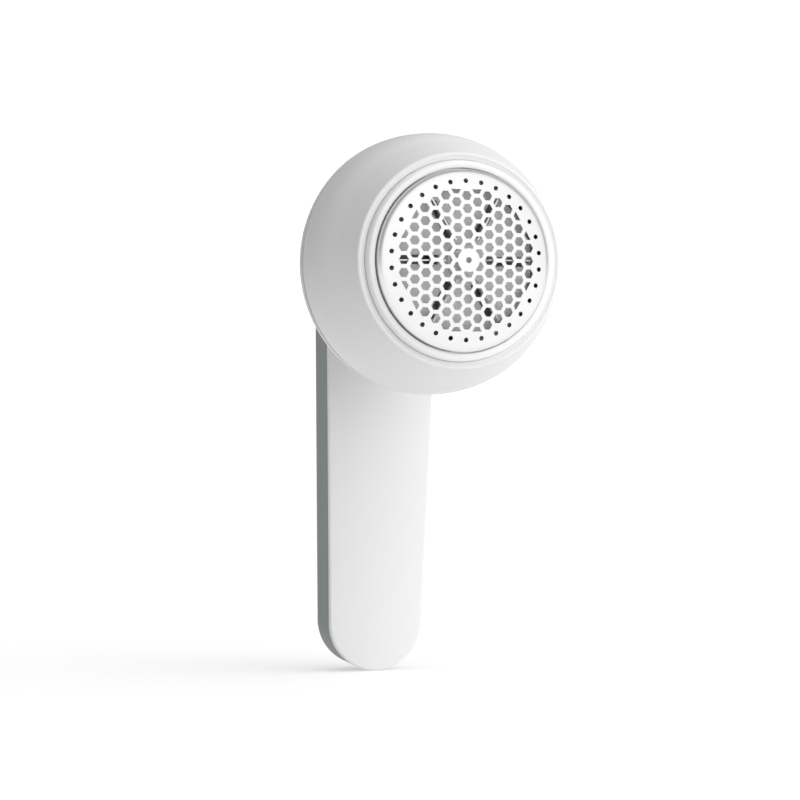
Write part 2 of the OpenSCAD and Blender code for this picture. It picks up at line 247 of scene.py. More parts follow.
def stack(name, rings, mat=None, place=P, deg=35, cap0=True, cap1=True, smooth=True):
    """Loft closed rings of equal count; each ring is a list of (x, v, w)."""
    verts, faces = [], []
    n = len(rings[0])
    for r in rings:
        verts += [place(*q) for q in r]
    for k in range(len(rings) - 1):
        for i in range(n):
            j = (i + 1) % n
            faces.append((k * n + i, k * n + j, (k + 1) * n + j, (k + 1) * n + i))
    if cap0:
        faces.append(tuple(range(n))[::-1])
    if cap1:
        faces.append(tuple((len(rings) - 1) * n + i for i in range(n)))
    ob = new_obj(name, verts, faces, mat)
    if smooth:
        sharp_by_angle(ob, deg)
    return ob


def prism(name, pts2, v0, v1, place=P, order="xw"):
    """Straight prism of a 2-D outline along the handle's depth (xw) or the head's depth (xy)."""
    if order == "xw":
        rings = [[(x, v, w) for x, w in pts2] for v in (v0, v1)]
        return stack(name, rings, place=P)
    rings = [[(x, u, v) for x, u in pts2] for v in (v0, v1)]
    return stack(name, rings, place=lambda a, b, c: H(a, b, c))


def rev_cyl(x, w, r0, v0, v1, n=48, name="cut"):
    return prism(name, [(x + r0 * math.cos(2 * math.pi * i / n), w + r0 * math.sin(2 * math.pi * i / n)) for i in range(n)], v0, v1)


def stadium(hx, hw, r, n=24, cx=0.0, cw=0.0):
    pts = [(cx + hx + 0 * r, 0)]
    pts = []
    for i in range(n + 1):
        a = math.pi * i / n
        pts.append((cx + r * math.cos(a), cw + hw + r * math.sin(a)))
    for i in range(n + 1):
        a = math.pi + math.pi * i / n
        pts.append((cx + r * math.cos(a), cw - hw + r * math.sin(a)))
    return pts


# ---- materials --------------------------------------------------------------------------
def srgb(c):
    return tuple(((v / 12.92) if v <= 0.04045 else ((v + 0.055) / 1.055) ** 2.4) for v in c)


def mat_base(name):
    m = bpy.data.materials.new(name)
    m.use_nodes = True
    nt = m.node_tree
    bs = nt.nodes["Principled BSDF"]
    return m, nt, bs


def plastic(name, col, rough=0.42, grain=0.03, grain_scale=2600.0, mottle=0.015, spec=0.5, coat=0.0, sss=0.0):
    """Moulded plastic: fine spark-eroded grain in the bump, a faint cloudiness in colour and gloss."""
    m, nt, bs = mat_base(name)
    N, L = nt.nodes, nt.links
    tc = N.new("ShaderNodeTexCoord")
    big = N.new("ShaderNodeTexNoise")
    big.inputs["Scale"].default_value = 28.0
    big.inputs["Detail"].default_value = 3.0
    L.new(tc.outputs["Object"], big.inputs["Vector"])
    ramp = N.new("ShaderNodeMix")
    ramp.data_type = "RGBA"
    lo = [max(0.0, v * (1 - mottle)) for v in col]
    hi = [min(1.0, v * (1 + mottle)) for v in col]
    ramp.inputs["A"].default_value = (*lo, 1)
    ramp.inputs["B"].default_value = (*hi, 1)
    L.new(big.outputs["Fac"], ramp.inputs["Factor"])
    L.new(ramp.outputs["Result"], bs.inputs["Base Color"])
    fine = N.new("ShaderNodeTexNoise")
    fine.inputs["Scale"].default_value = grain_scale
    fine.inputs["Detail"].default_value = 2.0
    L.new(tc.outputs["Object"], fine.inputs["Vector"])
    mr = N.new("ShaderNodeMapRange")
    mr.inputs["From Min"].default_value = 0.3
    mr.inputs["From Max"].default_value = 0.7
    mr.inputs["To Min"].default_value = rough - 0.05
    mr.inputs["To Max"].default_value = rough + 0.05
    L.new(fine.outputs["Fac"], mr.inputs["Value"])
    L.new(mr.outputs["Result"], bs.inputs["Roughness"])
    bp = N.new("ShaderNodeBump")
    bp.inputs["Strength"].default_value = grain
    bp.inputs["Distance"].default_value = 0.00008
    L.new(fine.outputs["Fac"], bp.inputs["Height"])
    L.new(bp.outputs["Normal"], bs.inputs["Normal"])
    bs.inputs["Specular IOR Level"].default_value = spec
    bs.inputs["Coat Weight"].default_value = coat
    bs.inputs["Coat Roughness"].default_value = 0.25
    if sss > 0:
        bs.inputs["Subsurface Weight"].default_value = sss
        bs.inputs["Subsurface Radius"].default_value = (0.002, 0.002, 0.002)
    return m


def metal(name, col, rough=0.25, brush=0.05, scale=900.0, stretch=(1, 1, 1), aniso=0.0):
    """Steel with fine rolling lines: stretched noise in the roughness, the tint and a shallow bump."""
    m, nt, bs = mat_base(name)
    N, L = nt.nodes, nt.links
    tc = N.new("ShaderNodeTexCoord")
    mp = N.new("ShaderNodeMapping")
    mp.inputs["Scale"].default_value = stretch
    L.new(tc.outputs["Object"], mp.inputs["Vector"])
    nz = N.new("ShaderNodeTexNoise")
    nz.inputs["Scale"].default_value = scale
    nz.inputs["Detail"].default_value = 4.0
    L.new(mp.outputs["Vector"], nz.inputs["Vector"])
    mx = N.new("ShaderNodeMix")
    mx.data_type = "RGBA"
    mx.inputs["A"].default_value = (*[v * 0.93 for v in col], 1)
    mx.inputs["B"].default_value = (*[min(1.0, v * 1.04) for v in col], 1)
    L.new(nz.outputs["Fac"], mx.inputs["Factor"])
    L.new(mx.outputs["Result"], bs.inputs["Base Color"])
    mr = N.new("ShaderNodeMapRange")
    mr.inputs["To Min"].default_value = max(0.02, rough - 0.08)
    mr.inputs["To Max"].default_value = rough + 0.08
    L.new(nz.outputs["Fac"], mr.inputs["Value"])
    L.new(mr.outputs["Result"], bs.inputs["Roughness"])
    bp = N.new("ShaderNodeBump")
    bp.inputs["Strength"].default_value = brush
    bp.inputs["Distance"].default_value = 0.00005
    L.new(nz.outputs["Fac"], bp.inputs["Height"])
    L.new(bp.outputs["Normal"], bs.inputs["Normal"])
    bs.inputs["Metallic"].default_value = 1.0
    return m


M = {}
M["white"] = plastic("white_plastic", (0.70, 0.70, 0.70), rough=0.45, grain=0.05)
M["bezel"] = plastic("bezel_plastic", (0.78, 0.78, 0.78), rough=0.38, grain=0.04)
M["inner"] = plastic("inner_plastic", (0.84, 0.845, 0.85), rough=0.5, grain=0.08)
M["grey"] = plastic("grey_soft_plastic", srgb((0.525, 0.548, 0.544)), rough=0.55, grain=0.10, grain_scale=2200, spec=0.4)
M["carrier"] = plastic("carrier_plastic", (0.66, 0.66, 0.665), rough=0.5, grain=0.08)
M["hub"] = plastic("hub_plastic", (0.72, 0.72, 0.70), rough=0.4, grain=0.05)
M["black"] = plastic("black_plastic", (0.02, 0.02, 0.022), rough=0.5, grain=0.10)
M["foam"] = plastic("foam_rubber", (0.03, 0.03, 0.032), rough=0.9, grain=0.5, grain_scale=1400)
M["knob"] = plastic("knob_plastic", (0.72, 0.73, 0.73), rough=0.5, grain=0.10)
M["steel"] = metal("satin_steel", (0.62, 0.62, 0.63), rough=0.30, brush=0.08, scale=700, stretch=(1, 1, 6))
M["foil"] = metal("foil_steel", (0.85, 0.85, 0.855), rough=0.34, brush=0.015, scale=1500, stretch=(1, 1, 5))
M["blade"] = metal("blade_steel", (0.86, 0.86, 0.865), rough=0.20, brush=0.05, scale=900, stretch=(6, 1, 6))
M["can"] = metal("motor_can_steel", (0.52, 0.52, 0.53), rough=0.34, brush=0.06, scale=600, stretch=(1, 5, 1))
M["brass"] = metal("terminal_brass", (0.72, 0.50, 0.20), rough=0.30, brush=0.05)
M["battery"] = plastic("battery_wrap", (0.06, 0.14, 0.30), rough=0.28, grain=0.15, grain_scale=260, coat=0.3)
M["board"] = plastic("solder_mask", (0.015, 0.09, 0.04), rough=0.32, grain=0.1, grain_scale=900, mottle=0.12)
M["red"] = plastic("red_insulation", (0.5, 0.02, 0.015), rough=0.4, grain=0.05)
M["wblack"] = plastic("black_insulation", (0.015, 0.015, 0.015), rough=0.4, grain=0.05)
M["lens"] = plastic("lens_plastic", (0.85, 0.85, 0.80), rough=0.2, grain=0.02, coat=0.4)

# smoke-grey bin: a clear tinted moulding
m, nt, bs = mat_base("smoke_bin")
N, L = nt.nodes, nt.links
tc = N.new("ShaderNodeTexCoord")
nz = N.new("ShaderNodeTexNoise")
nz.inputs["Scale"].default_value = 45.0
nz.inputs["Detail"].default_value = 3.0
L.new(tc.outputs["Object"], nz.inputs["Vector"])
mx = N.new("ShaderNodeMix")
mx.data_type = "RGBA"
mx.inputs["A"].default_value = (0.30, 0.315, 0.32, 1)
mx.inputs["B"].default_value = (0.36, 0.375, 0.38, 1)
L.new(nz.outputs["Fac"], mx.inputs["Factor"])
L.new(mx.outputs["Result"], bs.inputs["Base Color"])
mr = N.new("ShaderNodeMapRange")
mr.inputs["To Min"].default_value = 0.16
mr.inputs["To Max"].default_value = 0.26
L.new(nz.outputs["Fac"], mr.inputs["Value"])
L.new(mr.outputs["Result"], bs.inputs["Roughness"])
bs.inputs["Transmission Weight"].default_value = 0.55
bs.inputs["IOR"].default_value = 1.46
M["smoke"] = m


def use(node, key):
    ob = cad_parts[node]
    ob.data.materials.clear()
    ob.data.materials.append(M[key])
    sharp_by_angle_attr(ob)
    return ob


def sharp_by_angle_attr(ob):
    """Shading only: turn on smooth shading for every face of the carried-over node, leaving its points alone."""
    me = ob.data
    me.polygons.foreach_set("use_smooth", [True] * len(me.polygons))


# ---- head front shell -------------------------------------------------------------------
dome = spline([(32.42, 7.86), (32.72, 8.6), (33.24, 9.9), (34.5, 12.8), (35.9, 16.4), (37.5, 20.05), (38.67, 23.66),
               (39.3, 27.2), (HEAD_R - 0.12, 30.8), (HEAD_R, 34.3)], 8)
crest = [(31.45 + 0.85 * math.cos(math.radians(a)), 7.75 - 0.85 * math.sin(math.radians(a))) for a in range(125, 19, -10)]
groove = [(29.83, 12.0), (29.83, 7.4), (29.88, 7.24), (29.98, 7.15), (30.2, 7.12), (30.7, 7.11)]
prof = groove + crest + dome + [(HEAD_R - 0.02, 34.45), (HEAD_R - 0.12, 34.66), (HEAD_R - 0.34, 34.78), (HEAD_R - 2.2, 34.80),
                                (HEAD_R - 2.2, 30.8), (37.0, 27.2), (36.3, 23.66), (35.1, 20.05), (33.6, 16.4), (32.6, 13.7), (29.83, 13.7)]
ob = lathe("head_front_dome", prof, 320, mat=M["white"], deg=40)
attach(ob, "housing"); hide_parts("head_front_shell")

# ---- rear of the head: ring, neck and bin -----------------------------------------------
REAR = [(HEAD_R - 0.1, 35.3), (HEAD_R - 0.15, 38.0), (HEAD_R - 2.3, 43.0), (HEAD_R - 4.6, 48.5), (HEAD_R - 7.4, 54.0),
        (HEAD_R - 10.6, 59.0), (HEAD_R - 14.4, 63.5), (HEAD_R - 18.2, 66.7), (HEAD_R - 22.5, 68.6)]


def rear_prof(g, n=8):
    base = spline([(r - g, d - (max(0.0, d - 48) / 20.6) * g) for r, d in REAR[1:]], n)
    return base


def rear_solid(name, g, d0, d1):
    pr = [q for q in rear_prof(g) if d0 < q[1] < d1]
    first = np.interp(d0, [q[1] for q in rear_prof(g)], [q[0] for q in rear_prof(g)])
    last = np.interp(d1, [q[1] for q in rear_prof(g)], [q[0] for q in rear_prof(g)])
    end = [(last - 0.6, d1)] if d1 >= 67.6 - g else []
    return lathe_solid(name, [(0, d0), (first, d0)] + pr + [(last, d1)] + [(0, d1)], 256)


ring = lathe("head_ring", [(HEAD_R - 2.6, 35.04), (HEAD_R - 2.4, 35.04), (HEAD_R - 2.3, 35.12), (HEAD_R - 2.3, 36.3), (HEAD_R - 0.4, 36.36),
                           (HEAD_R - 0.2, 36.42), (HEAD_R - 0.1, 36.6), (HEAD_R - 0.1, 37.0), (HEAD_R - 0.14, 37.7), (HEAD_R - 0.3, 37.95), (HEAD_R - 0.5, 38.0), (HEAD_R - 2.6, 38.0)], 320, mat=M["white"], deg=40)
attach(ring, "housing")


def u_shape(r, n=40, down=60.0):
    pts = [(r * math.cos(math.pi * i / n), r * math.sin(math.pi * i / n)) for i in range(n + 1)]
    return [(r, -down)] + pts + [(-r, -down)]


neck = rear_solid("neck", 0.0, 38.0, 68.6)
neck.data.materials.append(M["white"])
boolean(neck, prism("u", u_shape(NECK), 30, 80, order="xy"), "INTERSECT")
inner = rear_solid("neck_in", 2.0, 36.0, 66.6)
boolean(inner, prism("u2", u_shape(NECK - 2.0), 30, 66.6, order="xy"), "INTERSECT")
boolean(neck, inner, "DIFFERENCE", solver="MANIFOLD")
clean(neck)
bevel(neck, 0.5, 3, 50)
sharp_by_angle(neck, 35)
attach(neck, "housing")
saddle_pts = [(13 * math.cos(math.pi * i / 32), 13 * math.sin(math.pi * i / 32)) for i in range(33)] + [(-13, -9.5)] + \
    [(-13 + 3.5 * (1 - math.cos(math.radians(a))), -9.5 - 3.5 * math.sin(math.radians(a))) for a in range(10, 91, 10)] + \
    [(13 - 3.5 * (1 - math.cos(math.radians(a))), -9.5 - 3.5 * math.sin(math.radians(a))) for a in range(90, -1, -10)]
saddle = prism("neck_saddle", saddle_pts, 67.5, 72.2, order="xy")
saddle.data.materials.append(M["white"])
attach(saddle, "housing")
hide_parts("head_rear_housing")

lbin = rear_solid("lint_cup", 0.0, 38.5, 68.6)
lbin.data.materials.append(M["smoke"])
boolean(lbin, prism("u3", u_shape(NECK + 0.5), 30, 80, order="xy"), "DIFFERENCE")
cav = rear_solid("cav", 1.8, 38.2, 66.8)
boolean(cav, prism("u4", u_shape(NECK + 2.0), 30, 80, order="xy"), "DIFFERENCE")
boolean(lbin, cav, "DIFFERENCE", solver="MANIFOLD")
clean(lbin)
bevel(lbin, 0.35, 3, 50)
sharp_by_angle(lbin, 35)
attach(lbin, "bin"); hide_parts("lint_bin")
for k, (r, d) in enumerate([(36.9, 44.3), (35.8, 47.0), (34.6, 49.7), (33.2, 52.4)]):
    rib = lathe(f"bin_rib_{k+1}", [(r + 0.8 * math.cos(2 * math.pi * i / 20), d + 0.8 * math.sin(2 * math.pi * i / 20)) for i in range(20)], 36,
                mat=M["smoke"], a0=78, a1=102, deg=60)
    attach(rib, "bin")

# ---- handle -----------------------------------------------------------------------------
RC = (R_TOP ** 2 + CROWN ** 2) / (2 * CROWN)


def crown_v(x, g=0.0):
    return -0.6 + (RC - CROWN) - math.sqrt(max(0.0, (RC - g) ** 2 - x * x)) + 0.0


def cover():
    rings = []
    for v in (0.0, -0.25):
        rings.append([(x, v, w) for x, w in outline(0)])
    rr = 0.45
    # top surface: shrink the outline in steps and lift each ring onto the crown
    gs = [0.03, 0.1, 0.22, 0.38, 0.6] + [1.0 + 0.9 * i for i in range(16)]
    for g in gs:
        ring = []
        drop = 0.0
        if g < 0.6:
            c = (0.6 - g) / 0.6
            drop = 0.42 * (1 - math.sqrt(max(0.0, 1 - c * c)))
        for x, w in outline(g):
            ring.append((x, crown_v(x) + drop, w))
        rings.append(ring)
    ob = stack("handle_front", rings, M["white"], deg=50, cap0=False)
    return ob


front = cover()
bm = bmesh.new(); bm.from_mesh(front.data)
bmesh.ops.triangulate(bm, faces=[f for f in bm.faces if len(f.verts) > 4])
bm.to_mesh(front.data); bm.free()
sharp_by_angle(front, 50)
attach(front, "housing"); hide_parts("front_cover")

rings = [[(x, 0.12, w) for x, w in outline(0.25)], [(x, 0.2, w) for x, w in outline(0.08)], [(x, 0.34, w) for x, w in outline(0)]]
rings += [[(x, v, w) for x, w in outline(0)] for v in (3.0, 7.0, BAND - 1.8)]
for k in range(1, 11):
    a = math.radians(9 * k)
    rings.append([(x, BAND - 1.8 + 1.8 * math.sin(a), w) for x, w in outline(1.8 * (1 - math.cos(a)))])
rear = stack("handle_back", rings, M["grey"], deg=40, cap0=False)
# inner wall makes it a shell
inner = [[(x, 0.12, w) for x, w in outline(1.7)], [(x, BAND - 2.2, w) for x, w in outline(1.7)]]
cav = stack("cav", [[(x, -2.0, w) for x, w in outline(1.7)], [(x, BAND - 2.0, w) for x, w in outline(1.7)]])
bm = bmesh.new(); bm.from_mesh(rear.data)
n0 = len(outline(0))
bm.verts.ensure_lookup_table()
bm.faces.new([bm.verts[i] for i in range(n0)][::-1])
bmesh.ops.recalc_face_normals(bm, faces=bm.faces)
bm.to_mesh(rear.data); bm.free()
boolean(rear, cav, "DIFFERENCE")
SW = -52.0
boolean(rear, prism("c", stadium(0, 7.0, 4.5, cw=SW), BAND - 1.0, BAND + 2), "DIFFERENCE")
boolean(rear, prism("c", [(-1.6, SW - 5), (1.6, SW - 5), (1.6, SW + 5), (-1.6, SW + 5)], BAND - 4, BAND + 2), "DIFFERENCE")
for x, w in ((-9, -4), (9, -4), (-9, -105), (9, -105)):
    boolean(rear, rev_cyl(x, w, 2.3, BAND - 1.2, BAND + 2), "DIFFERENCE")
boolean(rear, rev_cyl(0, -70, 1.55, BAND - 4, BAND + 2, 32), "DIFFERENCE")
zb = -LEN_C - R_END
port = [(3 * (1 if math.cos(a) >= 0 else -1) + 1.85 * math.cos(a), 5.05 + 1.85 * math.sin(a)) for a in [2 * math.pi * (i + 0.5) / 40 for i in range(40)]]
cut = stack("c", [[(x, v, w) for x, v in port] for w in (zb - 3, zb + 5)])
boolean(rear, cut, "DIFFERENCE")
clean(rear)
bevel(rear, 0.22, 2, 55)
sharp_by_angle(rear, 38)
wn_ = rear.modifiers.new("wn", "WEIGHTED_NORMAL")
wn_.keep_sharp = True
wn_.weight = 90
bpy.context.view_layer.update()
apply_mods(rear)
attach(rear, "housing"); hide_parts("rear_shell")

# ---- switch knob ------------------------------------------------------------------------
sk = -54.5
prof = [(-0.7, 0.0), (0.15, 0.0), (0.36, 0.08), (0.47, 0.22), (0.5, 0.45)]
rings = [[(x, BAND + v, w) for x, w in stadium(0, 2.5, 3.8 - g, cw=sk)] for v, g in prof]
knob = stack("slide_knob", rings, M["knob"], deg=50)
for k in (-2, -1, 0, 1, 2):
    c = sk + k * 1.25
    boolean(knob, prism("c", [(-2.4, c - 0.3), (2.4, c - 0.3), (2.4, c + 0.3), (-2.4, c + 0.3)], BAND + 0.18, BAND + 2), "DIFFERENCE")
stem = prism("s", [(-1.3, sk - 1.8), (1.3, sk - 1.8), (1.3, sk + 1.8), (-1.3, sk + 1.8)], BAND - 3.6, BAND - 0.5)
boolean(knob, stem, "UNION")
clean(knob); bevel(knob, 0.08, 2, 50); sharp_by_angle(knob, 40)
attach(knob, "switch"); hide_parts("switch_knob")

# ---- lock ring --------------------------------------------------------------------------
prof = [(27.35, 6.9), (27.35, 5.40), (27.40, 5.2), (27.53, 5.06), (27.75, 5.0), (28.2, 4.98), (28.65, 5.0), (28.98, 5.08), (29.24, 5.28),
        (29.46, 5.62), (29.62, 6.05), (29.75, 6.5), (29.8, 6.9), (29.8, 11.25), (29.7, 11.38), (29.5, 11.4), (27.8, 11.4), (27.6, 11.25), (27.6, 7.85), (28.45, 7.85), (28.45, 6.9)]
lr = lathe("foil_lock_ring", prof, 320, mat=M["bezel"], deg=45)
for i in range(3):
    a = -(120 * i)
    tab = lathe("tab", [(25.8, 10.1), (27.8, 10.1), (27.8, 11.2), (25.8, 11.2)], 12, a0=a - 9, a1=a + 9)
    boolean(lr, tab, "UNION")
sharp_by_angle(lr, 45)
lr.data.materials.clear(); lr.data.materials.append(M["bezel"])
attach(lr, "lock_ring_body"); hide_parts("lock_ring")

# ---- foil -------------------------------------------------------------------------------
PITCH, AF, FIELD, BOSS = 3.8, 2.64, 20.9, 3.45
_m = math.tan(math.radians(30))
_c = AF / math.sqrt(3) / 2 - (PITCH - AF / 2) * _m
_t = (math.sqrt(_m * _m * _c * _c - (1 + _m * _m) * (_c * _c - BOSS * BOSS)) - _m * _c) / (1 + _m * _m)
BA = math.atan2(_m * _t + _c, _t)               # half angle of the boss's arc in each of the first holes
RF = 122.0


def sag(r, R=RF):
    return R - math.sqrt(R * R - r * r)


def foil_loops():
    loops = []
    rh = AF / math.sqrt(3)
    for i in range(-7, 8):
        for j in range(-7, 8):
            x = i * PITCH * math.sqrt(3) / 2
            y = (j + (abs(i) % 2) / 2) * PITCH
            q = math.hypot(x, y)
            if not (3.0 < q < FIELD + 0.5):
                continue
            if q < 4.4:
                t = math.atan2(y, x)
                loc = [(BOSS * math.cos(BA * k / 3), BOSS * math.sin(BA * k / 3)) for k in range(-3, 4)] + \
                    [(PITCH, rh), (PITCH + AF / 2, rh / 2), (PITCH + AF / 2, -rh / 2), (PITCH, -rh)]
                hexa = [(a * math.cos(t) - b * math.sin(t), a * math.sin(t) + b * math.cos(t)) for a, b in loc]
            elif q > FIELD:
                n = 120 + 60 * round((math.degrees(math.atan2(y, x)) - 30) / 60)
                hexa = [(x + rh * math.cos(math.radians(60 * k + n)), y + rh * math.sin(math.radians(60 * k + n))) for k in range(4)]
            else:
                hexa = [(x + rh * math.cos(math.radians(60 * k)), y + rh * math.sin(math.radians(60 * k))) for k in range(6)]
            loops.append([(a, -b) for a, b in hexa])
    for i in range(30):
        a = math.radians(90 + 12 * i)
        cx, cy = 23.4 * math.cos(a), 23.4 * math.sin(a)
        loops.append([(cx + 0.715 * math.cos(2 * math.pi * k / 20), cy + 0.715 * math.sin(2 * math.pi * k / 20)) for k in range(20)])
    loops.append([(0.88 * math.cos(2 * math.pi * k / 28), 0.88 * math.sin(2 * math.pi * k / 28)) for k in range(28)])
    return loops


def build_foil():
    loops = foil_loops()
    co, edges = [], []
    for lp in loops:
        b = len(co)
        co += lp
        edges += [(b + k, b + (k + 1) % len(lp)) for k in range(len(lp))]
    NB = 180
    b = len(co)
    RO = 25.2
    co += [(RO * math.cos(2 * math.pi * k / NB), RO * math.sin(2 * math.pi * k / NB)) for k in range(NB)]
    edges += [(b + k, b + (k + 1) % NB) for k in range(NB)]
    for r, n in ((24.6, 120), (22.2, 110), (3.15, 24), (2.0, 16)):
        co += [(r * math.cos(2 * math.pi * (k + 0.5) / n), r * math.sin(2 * math.pi * (k + 0.5) / n)) for k in range(n)]
    out = delaunay_2d_cdt([Vector(c) for c in co], edges, [], 0, 1e-6)
    v2, tris = out[0], out[2]
    from_in = out[3]
    polys = [np.array(lp) for lp in loops]
    cen = [p.mean(0) for p in polys]
    rad = [np.linalg.norm(p - c, axis=1).max() for p, c in zip(polys, cen)]

    def inside(p):
        for poly, c, r in zip(polys, cen, rad):
            if (p[0] - c[0]) ** 2 + (p[1] - c[1]) ** 2 > r * r:
                continue
            hit = False
            n = len(poly)
            j = n - 1
            for i in range(n):
                xi, yi = poly[i]; xj, yj = poly[j]
                if (yi > p[1]) != (yj > p[1]) and p[0] < (xj - xi) * (p[1] - yi) / (yj - yi) + xi:
                    hit = not hit
                j = i
            if hit:
                return True
        return False

    keep = []
    for t in tris:
        c = sum((v2[i] for i in t), Vector((0, 0))) / len(t)
        if c.length < RO and not inside(c):
            keep.append(tuple(t))
    used = sorted(set(i for t in keep for i in t))
    remap = {u: k for k, u in enumerate(used)}
    T = 0.3
    top, bot = [], []
    for u in used:
        x, y = v2[u]
        r = math.hypot(x, y)
        top.append(H(x, y, sag(r)))
        s = r / RF
        bot.append(H(x * (1 - T / RF), y * (1 - T / RF), sag(r) + T))
    n = len(used)
    verts = top + bot
    faces = [tuple(remap[i] for i in t) for t in keep]
    fb = [tuple(n + remap[i] for i in t)[::-1] for t in keep]
    cnt = {}
    for f in faces:
        for k in range(3):
            e = (f[k], f[(k + 1) % 3])
            cnt[frozenset(e)] = cnt.get(frozenset(e), 0) + 1
    walls = []
    rim = []
    for f in faces:
        for k in range(3):
            a, b2 = f[k], f[(k + 1) % 3]
            if cnt[frozenset((a, b2))] == 1:
                x, y = v2[used[a]]
                if math.hypot(x, y) > RO - 0.05:
                    rim.append((a, b2))
                else:
                    walls.append((a, a + n, b2 + n, b2))
    # the rolled edge and skirt, swept from the rim's own points
    ring_idx = sorted(set(i for e in rim for i in e), key=lambda i: math.atan2(v2[used[i]][1], v2[used[i]][0]))
    outer = spline([(25.2, sag(25.2)), (25.75, 2.77), (26.2, 2.96), (26.6, 3.3), (26.88, 3.8), (27.0, 4.4)], 4)[1:] + [(27.0, 7.2), (28.1, 7.2)]
    innr = [(28.1, 7.5), (26.7, 7.5), (26.7, 4.6)] + spline([(26.66, 4.1), (26.48, 3.72), (26.12, 3.36), (25.7, 3.12), (25.2, sag(25.2) + 0.3)], 4)[:-1]
    chain = outer + innr
    m = len(chain)
    nb = len(ring_idx)
    base = len(verts)
    for i in ring_idx:
        x, y = v2[used[i]]
        a = math.atan2(y, x)
        for r, d in chain:
            verts.append(H(r * math.cos(a), r * math.sin(a), d))
    sk = []
    for k in range(nb):
        k2 = (k + 1) % nb
        A, B = base + k * m, base + k2 * m
        sk.append((ring_idx[k], ring_idx[k2], B, A))
        for q in range(m - 1):
            sk.append((A + q, B + q, B + q + 1, A + q + 1))
        sk.append((A + m - 1, B + m - 1, n + ring_idx[k2], n + ring_idx[k]))
    ob = new_obj("cutter_foil_sheet", verts, faces + fb + walls + sk, M["foil"])
    sharp_by_angle(ob, 42)
    return ob


foil = build_foil()
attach(foil, "foil_frame"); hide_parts("cutter_foil")
# centre bush behind the foil's hole
bush = lathe("foil_bush", [(0.9, 0.34), (3.0, 0.38), (3.1, 0.5), (3.1, 1.1), (2.95, 1.22), (1.05, 1.22), (0.9, 1.1)], 64, mat=M["foil"], deg=40)
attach(bush, "foil_frame")

# ---- blades -----------------------------------------------------------------------------
for i in range(6):
    a = math.radians(60 * i)
    ca, sa = math.cos(a), math.sin(a)
    prof = []
    rows = []
    for s in range(13):
        r = 6.8 + (21.2 - 6.8) * s / 12
        top = 0.62 + 0.0041 * r * r
        # blade section: leans forward, honed on its leading side
        sec = [(-0.20, 6.3), (-0.20, top + 0.55), (-0.02, top), (0.30, top + 0.12), (0.30, 6.3)]
        rows.append([(r * ca + t * sa * -1, r * sa + t * ca, d) for t, d in sec])
    verts = [H(*q) for row in rows for q in row]
    n = 5
    faces = []
    for s in range(12):
        for k in range(n):
            k2 = (k + 1) % n
            faces.append((s * n + k, s * n + k2, (s + 1) * n + k2, (s + 1) * n + k))
    faces.append(tuple(range(n))[::-1]); faces.append(tuple(12 * n + k for k in range(n)))
    b = new_obj(f"blade_{i+1}", verts, faces, M["blade"])
    sharp_by_angle(b, 25)
    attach(b, "rotor")
    if i == 0:
        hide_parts("cutter_blades")

# ---- carried-over nodes -----------------------------------------------------------------
for node, key in {
    "cutter_well": "inner", "well_screws": "steel", "motor_tube": "inner", "motor_can": "can", "motor_end_cap": "black",
    "motor_terminals": "brass", "motor_screws": "steel", "handle_screws": "steel", "battery_cell": "battery",
    "battery_pad": "foam", "circuit_board": "board", "board_parts": "black", "usb_socket": "steel", "switch_body": "black",
    "indicator_lens": "lens", "wire_red": "red", "wire_black": "wblack", "bin_seal": "foam", "foil_gasket": "foam",
    "motor_shaft": "steel", "drive_coupler": "hub", "cutter_carrier": "carrier", "hub_cap": "hub",
}.items():
    use(node, key)

# ---- camera -----------------------------------------------------------------------------
K = 0.95
az, el, roll = math.radians(-20.53), math.radians(0.485), math.radians(-0.11)
back = Vector((math.sin(az) * math.cos(el), -math.cos(az) * math.cos(el), math.sin(el)))
right = Vector((math.cos(az), math.sin(az), 0))
up = back.cross(right)
r2 = right * math.cos(roll) + up * math.sin(roll)
u2 = -right * math.sin(roll) + up * math.cos(roll)
apex = Vector(H(0, 0, 0))
D, s_px, cx, cy = 900.0, 3.2407, 468.885, 260.05
f_px = s_px * D
pos = apex - r2 * ((cx - 400) / f_px * D * K * MM) + u2 * ((cy - 400) / f_px * D * K * MM) + back * (D * K * MM)
cd = bpy.data.cameras.new("camera")
cd.sensor_width = 36.0
cd.lens = 36.0 * f_px / 800.0
cd.clip_start = 0.01
cd.clip_end = 50
cam = bpy.data.objects.new("camera", cd)
bpy.context.scene.collection.objects.link(cam)
cam.matrix_world = Matrix((
    (r2.x, u2.x, back.x, pos.x), (r2.y, u2.y, back.y, pos.y), (r2.z, u2.z, back.z, pos.z), (0, 0, 0, 1)))
bpy.context.scene.camera = cam

# ---- stage and light --------------------------------------------------------------------
sc = bpy.context.scene
sc.view_settings.view_transform = "Standard"
sc.view_settings.look = "None"
sc.view_settings.exposure = 0.0

w = bpy.data.worlds.new("studio")
sc.world = w
w.use_nodes = True
wn, wl = w.node_tree.nodes, w.node_tree.links
wn.clear()
out = wn.new("ShaderNodeOutputWorld")
bg_cam = wn.new("ShaderNodeBackground")
bg_cam.inputs["Color"].default_value = (1, 1, 1, 1)
bg_cam.inputs["Strength"].default_value = 1.15
bg_lit = wn.new("ShaderNodeBackground")
bg_lit.inputs["Color"].default_value = (1, 1, 1, 1)
wtc = wn.new("ShaderNodeTexCoord")
